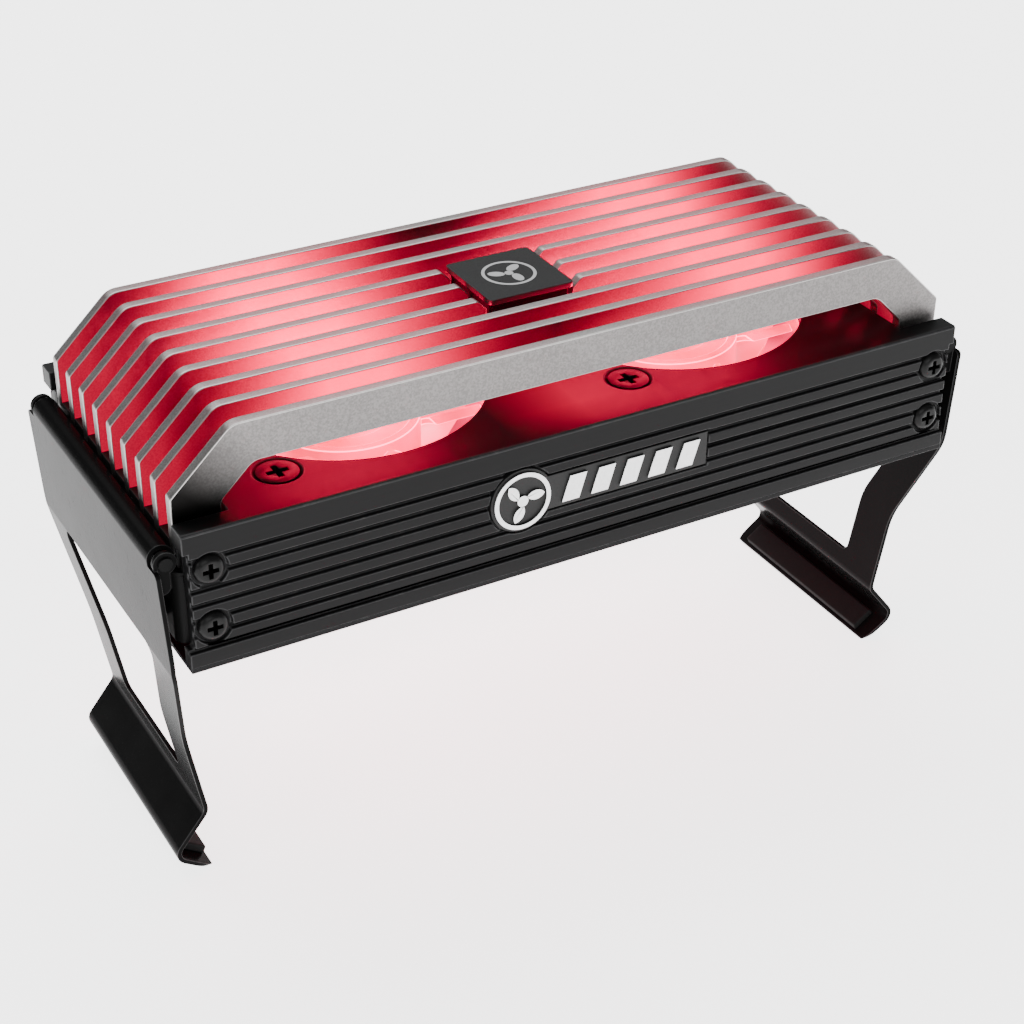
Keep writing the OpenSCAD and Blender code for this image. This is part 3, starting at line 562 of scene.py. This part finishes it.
# %% Clips, brackets and fans
BORE_R = 24.2 * MM
for side in SIDES:
    broken_edges(f"clip_{side}", f"clip_spring_{side}", 0.10, clip_black, clip_edge_wear_and_highlight)
    broken_edges(f"end_bracket_{side}", f"end_plate_{side}", 0.10, bracket_black)
    broken_edges(f"grip_pad_{side}", f"grip_rubber_{side}", 0.25, pad_rubber)
    casing = broken_edges(f"fan_frame_{side}", f"fan_housing_{side}", 0.15, frame_glow, edge_glow)
    # The outer walls glow weakly and are darker than the rest of the frame: painted shade.
    casing.data.materials.append(frame_dim)
    low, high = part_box(f"fan_frame_{side}")
    middle = (low.x + high.x) / 2
    for face in casing.data.polygons:
        across = math.hypot(face.center.x - middle, face.center.y)
        if across > BORE_R and abs(face.normal.z) < 0.9:
            face.material_index = 2
    broken_edges(f"fan_rotor_{side}", f"fan_blades_{side}", 0.15, blade_glow, edge_glow,
                 limit=50, shape=step_hub)
print("clips and fans finished")

# %% [markdown]
# ## Screws
# Every screw has a cross recess whose wings taper to a point, because the driver is tapered. One
# screw of each kind is modelled at the origin, cut with a cross-shaped tool, and copied to its
# places. A boolean modifier cuts the recess: insetting a cross into a round face by hand would
# leave long thin faces that shade badly. A flush head is a quarter of a millimetre smaller than
# its seat, as a real one is, which leaves a dark ring round it.

# %% Tapered cross cutter
POINTED = 0.6

def taper(piece, factor):
    """Scale the lower end face of a primitive about its middle."""
    pick_faces(piece, lambda face: face.normal.z < -0.9)
    bpy.ops.transform.resize(value=(factor, factor, 1))
    bpy.ops.object.mode_set(mode="OBJECT")

def cross_tool(reach, width, depth, top):
    """Two crossed bars that reach depth mm into a head whose top is at top mm."""
    proud = 0.5
    wings = []
    for length, breadth in ((reach, width), (width, reach)):
        bpy.ops.object.select_all(action="DESELECT")
        bpy.ops.mesh.primitive_cube_add(
            size=1, location=(0, 0, (top + (proud - depth) / 2) * MM))
        wing = bpy.context.object
        wing.scale = (2 * length * MM, 2 * breadth * MM, (depth + proud) * MM)
        bpy.ops.object.transform_apply(location=True, rotation=True, scale=True)
        taper(wing, POINTED)
        wings.append(wing)
    return wings

def cut(piece, tools):
    for tool in tools:
        carve = piece.modifiers.new("recess", "BOOLEAN")
        carve.operation = "DIFFERENCE"
        carve.object = tool
    apply_all(piece)
    for tool in tools:
        bpy.data.objects.remove(tool)

# %% One screw of each kind
TIP = 0.6
CROSS_REACH, CROSS_WIDTH, CROSS_DEPTH = 0.6, 0.165, 1.2

def screw(name, head_r, head_h, shank_r, length, cone):
    """Sizes in mm. A flush head is a cone whose top is at the origin. A pan head has no cone, its
    underside at the origin and its top at head_h."""
    bpy.ops.object.select_all(action="DESELECT")
    depth = cone if cone else head_h * 0.5
    bpy.ops.mesh.primitive_cylinder_add(vertices=48, radius=head_r * MM, depth=depth * MM,
                                        location=(0, 0, (-depth / 2 if cone else depth / 2) * MM))
    piece = bpy.context.object
    piece.name = name
    bpy.ops.object.transform_apply(location=True, rotation=True, scale=True)
    if cone:
        taper(piece, shank_r / head_r)
        pick_faces(piece, lambda face: face.normal.z < -0.9)
    else:
        pick_faces(piece, lambda face: face.normal.z > 0.9)
        bpy.ops.mesh.extrude_region_move(
            TRANSFORM_OT_translate={"value": (0, 0, head_h * 0.5 * MM)})
        bpy.ops.transform.resize(value=(0.72, 0.72, 1))
        bpy.ops.object.mode_set(mode="OBJECT")
        pick_faces(piece, lambda face: face.normal.z < -0.9)
        bpy.ops.mesh.inset(thickness=(head_r - shank_r) * MM)
    shank = length - depth if cone else length
    bpy.ops.mesh.extrude_region_move(TRANSFORM_OT_translate={"value": (0, 0, (TIP - shank) * MM)})
    bpy.ops.mesh.extrude_region_move(TRANSFORM_OT_translate={"value": (0, 0, -TIP * MM)})
    bpy.ops.transform.resize(value=(POINTED, POINTED, 1))
    bpy.ops.object.mode_set(mode="OBJECT")
    if not cone:
        round_top = piece.modifiers.new("rounded head", "BEVEL")
        round_top.width = 0.35 * MM
        round_top.segments = 4
        round_top.limit_method = "ANGLE"
        round_top.angle_limit = math.radians(25)
        apply_all(piece)
    top = 0 if cone else head_h
    cut(piece, cross_tool(head_r * CROSS_REACH, head_r * CROSS_WIDTH, CROSS_DEPTH, top))
    soft = piece.modifiers.new("broken edges", "BEVEL")
    soft.width = 0.06 * MM
    soft.segments = 2
    soft.limit_method = "ANGLE"
    soft.angle_limit = math.radians(40)
    soft.use_clamp_overlap = False
    apply_all(piece)
    bpy.ops.object.shade_smooth_by_angle(angle=math.radians(35))
    piece.data.materials.append(screw_black)
    piece.data.materials.append(recess_painted_shade)
    # The faces inside the cross get the darker finish, which paints the shade in the recess.
    for face in piece.data.polygons:
        inside_cross = math.hypot(*face.center.xy) < (CROSS_REACH + 0.02) * head_r * MM
        if inside_cross and -CROSS_DEPTH - 0.2 < face.center.z / MM - top < -0.1:
            face.material_index = 1
    print(name, "modelled, faces", len(piece.data.polygons))
    return piece

def place_copies(pattern, name, spots):
    """Copies of a piece turned so that its +Z points along each spot's direction, made one mesh."""
    copies = []
    for place, direction in spots:
        copy = bpy.data.objects.new(name, pattern.data.copy())
        bpy.context.scene.collection.objects.link(copy)
        turn = Vector(direction).to_track_quat("Z", "Y").to_matrix().to_4x4()
        copy.data.transform(Matrix.Translation(place) @ turn)
        copies.append(copy)
    only(copies[0])
    for copy in copies:
        copy.select_set(True)
    bpy.ops.object.join()
    copies[0].data.name = name
    bpy.data.objects.remove(pattern)
    return copies[0]

# %% Screws in the skirts, the deck and the bottom plate
low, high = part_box("skirt_screws")
pan_r, pan_h = 2.45, 1.3
pan = screw("skirt_screw", pan_r, pan_h, shank_r=1.25, length=3.7, cone=0)
spots = [((x * (high.x - pan_r * MM), y * (high.y - pan_h * MM), z), (0, y, 0))
         for x in (-1, 1) for y in (-1, 1) for z in (high.z - pan_r * MM, low.z + pan_r * MM)]
mount(place_copies(pan, "skirt_cross_screws", spots), slots["skirt_screws"], "skirt_screws")
HALF_PATTERN = 20 * MM
for node, head_r, cone, length, look in (("fan_screws", 3.42, 1.9, 9, 1),
                                         ("bottom_screws", 3.02, 1.3, 7, -1)):
    low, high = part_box(node)
    flush = screw(node + "_one", head_r, head_h=0, shank_r=1.75, length=length, cone=cone)
    head_z = high.z - 0.05 * MM if look > 0 else low.z
    spots = []
    for side in SIDES:
        lo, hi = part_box(f"fan_frame_{side}")
        middle = (lo.x + hi.x) / 2
        for end in (-1, 1):
            place = (middle + end * HALF_PATTERN, end * look * HALF_PATTERN, head_z)
            spots.append((place, (0, 0, look)))
    mount(place_copies(flush, node.replace("screws", "cross_screws"), spots), slots[node], node)
print("screws placed")

# %% [markdown]
# ## The mark on the badge
# The badge carries a printed sign: a ring round a three-bladed fan. Ink has a thickness, so each
# shape is a very thin raised plate with a soft white finish, instead of a picture on the badge.

# %% Printed fan sign
ink = moulded("white_ink", grey(0.62), rough=0.5, texture=0.2, depth=0.002, sheen=0.3)
low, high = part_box("badge_plate")
INK = 0.03 * MM

def flat_shape(vertices, radius, place, stretch=(1, 1), turn=0.0):
    """A flat filled outline, stretched, turned about the badge's middle and given its thickness."""
    bpy.ops.object.select_all(action="DESELECT")
    bpy.ops.mesh.primitive_circle_add(vertices=vertices, radius=radius * MM, fill_type="NGON")
    shape = bpy.context.object
    bpy.ops.object.mode_set(mode="EDIT")
    bpy.ops.mesh.select_all(action="SELECT")
    bpy.ops.transform.resize(value=(stretch[0], stretch[1], 1))
    bpy.ops.transform.translate(value=(place[0] * MM, place[1] * MM, 0))
    bpy.ops.mesh.extrude_region_move(TRANSFORM_OT_translate={"value": (0, 0, INK)})
    bpy.ops.mesh.select_all(action="SELECT")
    bpy.ops.mesh.normals_make_consistent(inside=False)
    bpy.ops.object.mode_set(mode="OBJECT")
    shape.data.transform(Matrix.Rotation(math.radians(turn), 4, "Z"))
    return shape

ring = flat_shape(64, 4.6, (0, 0))
pick_faces(ring, lambda face: abs(face.normal.z) > 0.9)
bpy.ops.mesh.inset(thickness=0.55 * MM)
bpy.ops.mesh.delete(type="FACE")
bpy.ops.object.mode_set(mode="OBJECT")
print("ring walls", len(ring.data.polygons))
only(ring)
bpy.ops.object.mode_set(mode="EDIT")
bpy.ops.mesh.select_mode(type="EDGE")
bpy.ops.mesh.select_all(action="DESELECT")
bpy.ops.mesh.select_non_manifold()
bpy.ops.mesh.bridge_edge_loops()
bpy.ops.mesh.select_mode(type="FACE")
bpy.ops.mesh.select_all(action="SELECT")
bpy.ops.mesh.normals_make_consistent(inside=False)
bpy.ops.object.mode_set(mode="OBJECT")
parts = [ring, flat_shape(24, 0.75, (0, 0))]
parts += [flat_shape(20, 1.0, (2.1, 0.55), (1.45, 0.85), angle) for angle in (30, 150, 270)]
only(ring)
for part in parts:
    part.select_set(True)
bpy.ops.object.join()
ring.name = "badge_sign"
ring.data.name = "badge_sign"
ring.data.materials.clear()
ring.data.materials.append(ink)
badge_middle = ((low.x + high.x) / 2, (low.y + high.y) / 2, high.z - 0.01 * MM)
ring.data.transform(Matrix.Translation(badge_middle))
mount(ring, "white_plastic", body="housing")
print("badge sign faces", len(ring.data.polygons))

# %% [markdown]
# ## Torsion springs
# Each clip is pressed inwards by a spring wound round its pin, with one leg on the clip's panel
# and one on the end plate. The coil is a small circle swept by a screw modifier, and each leg is
# an extrusion of the circle's open end. When the clip swings, the legs part and the coil winds up.

# %% Wound springs
def wound_spring(side, sign):
    low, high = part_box(f"hinge_pin_{side}")
    pin = Vector(((low.x + high.x) / 2, 0, (low.z + high.z) / 2))
    turns, pitch, coil_r, wire_r = 9.5, 0.54, 0.9, 0.25
    bpy.ops.object.select_all(action="DESELECT")
    bpy.ops.mesh.primitive_circle_add(vertices=10, radius=wire_r * MM, location=(0, 0, 0))
    spring = bpy.context.object
    spring.name = f"wound_spring_{side}"
    # The circle stands upright beside the axis, and the modifier winds it round Z
    upright = Matrix.Rotation(math.radians(90), 4, "X")
    spring.data.transform(Matrix.Translation((coil_r * MM, 0, 0)) @ upright)
    wind = spring.modifiers.new("winding", "SCREW")
    wind.axis = "Z"
    wind.angle = math.radians(360 * turns)
    wind.screw_offset = turns * pitch * MM
    wind.steps = wind.render_steps = int(24 * turns)
    wind.use_merge_vertices = False
    apply_all(spring)
    for leg_x, leg_z, lean in ((coil_r, 0, 3.3), (-coil_r, turns * pitch, -6)):
        only(spring)
        bpy.ops.object.mode_set(mode="EDIT")
        bpy.ops.mesh.select_mode(type="VERT")
        bpy.ops.mesh.select_all(action="DESELECT")
        bpy.ops.mesh.select_non_manifold()
        bpy.ops.object.mode_set(mode="OBJECT")
        for v in spring.data.vertices:
            near = abs(v.co.x - leg_x * MM) < 0.3 * MM and abs(v.co.z - leg_z * MM) < 0.3 * MM
            v.select = v.select and near
        bpy.ops.object.mode_set(mode="EDIT")
        along = Vector((-math.sin(math.radians(lean)), -math.cos(math.radians(lean)), 0))
        for step in (2.0, 4.5):
            bpy.ops.mesh.extrude_region_move(TRANSFORM_OT_translate={"value": along * step * MM})
        bpy.ops.mesh.edge_face_add()
        bpy.ops.mesh.select_all(action="SELECT")
        bpy.ops.mesh.remove_doubles(threshold=1e-6)
        bpy.ops.mesh.normals_make_consistent(inside=False)
        bpy.ops.object.mode_set(mode="OBJECT")
    # Lay the winding axis along Y, with the clip's leg at the front, and mirror it for the left
    lay = Matrix(((1, 0, 0, 0), (0, 0, 1, -turns * pitch / 2 * MM), (0, 1, 0, 0), (0, 0, 0, 1)))
    spring.data.transform(lay)
    if sign < 0:
        spring.data.transform(Matrix.Diagonal((-1, 1, 1, 1)))
    spring.data.transform(Matrix.Translation(pin))
    only(spring)
    bpy.ops.object.mode_set(mode="EDIT")
    bpy.ops.mesh.select_all(action="SELECT")
    bpy.ops.mesh.normals_make_consistent(inside=False)
    bpy.ops.object.mode_set(mode="OBJECT")
    bpy.ops.object.shade_smooth()
    spring.data.materials.append(steel)
    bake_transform(spring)
    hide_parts(f"torsion_spring_{side}")
    return spring

for side, sign in (("left", -1), ("right", 1)):
    spring = wound_spring(side, sign)
    lo = [min(v.co[i] for v in spring.data.vertices) / MM for i in range(3)]
    hi = [max(v.co[i] for v in spring.data.vertices) / MM for i in range(3)]

# %% [markdown]
# ## The solids that stay
# The cups, shafts, magnets and boards in the fans are seen only in slivers between the blades, so
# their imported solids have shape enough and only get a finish. Copies of them would look the same
# and be more to load. The rubber bush of the lead's outlet is seen whole from behind, and gets
# broken edges like the housing.

# %% Finishes of the solids that stay
def paint(node, finish):
    solid = frame["nodes"][node]
    solid.data.materials.clear()
    solid.data.materials.append(finish)

PAIRS = {"rotor_cup": steel, "rotor_magnet": magnet_grey, "rotor_shaft": steel, "bearing": brass,
         "stator_core": steel, "stator_coils": copper, "fan_board": board_green, "leds": lamp_red,
         "hinge_pin": bracket_black}
for side in SIDES:
    for node, finish in PAIRS.items():
        paint(f"{node}_{side}", finish)
paint("junction_board", board_green)
paint("board_sockets", socket_white)
paint("fan_leads", wire_black)
broken_edges("cable_grommet", "cable_bush", 0.3, pad_rubber, steps=4)
print("remaining solids painted")

# %% [markdown]
# ## The floor
# The unit stands on a sheet of white paper, with a faint tooth that keeps its gloss dull. The soft
# boxes alone would leave the paper grey, and stronger boxes would bleach the red of the fans, so
# the paper adds some light of its own. That light also fills the undersides of the clips.

# %% Floor
bpy.ops.object.select_all(action="DESELECT")
bpy.ops.mesh.primitive_plane_add(size=8)
floor = bpy.context.object
floor.name = "floor"
pale = Finish("pale_floor", Specular_IOR_Level=0.2)
pale.set(Base_Color=pale.mix(pale.noise(60, 3), grey(0.86), grey(0.9)),
         Roughness=0.6 + pale.noise(5, 3) * 0.1,
         Emission_Color=grey(1), Emission_Strength=3.2,
         Normal=pale.bump(pale.noise(0.5, 2), 0.02))
floor.data.materials.append(pale.material)
print("floor laid")
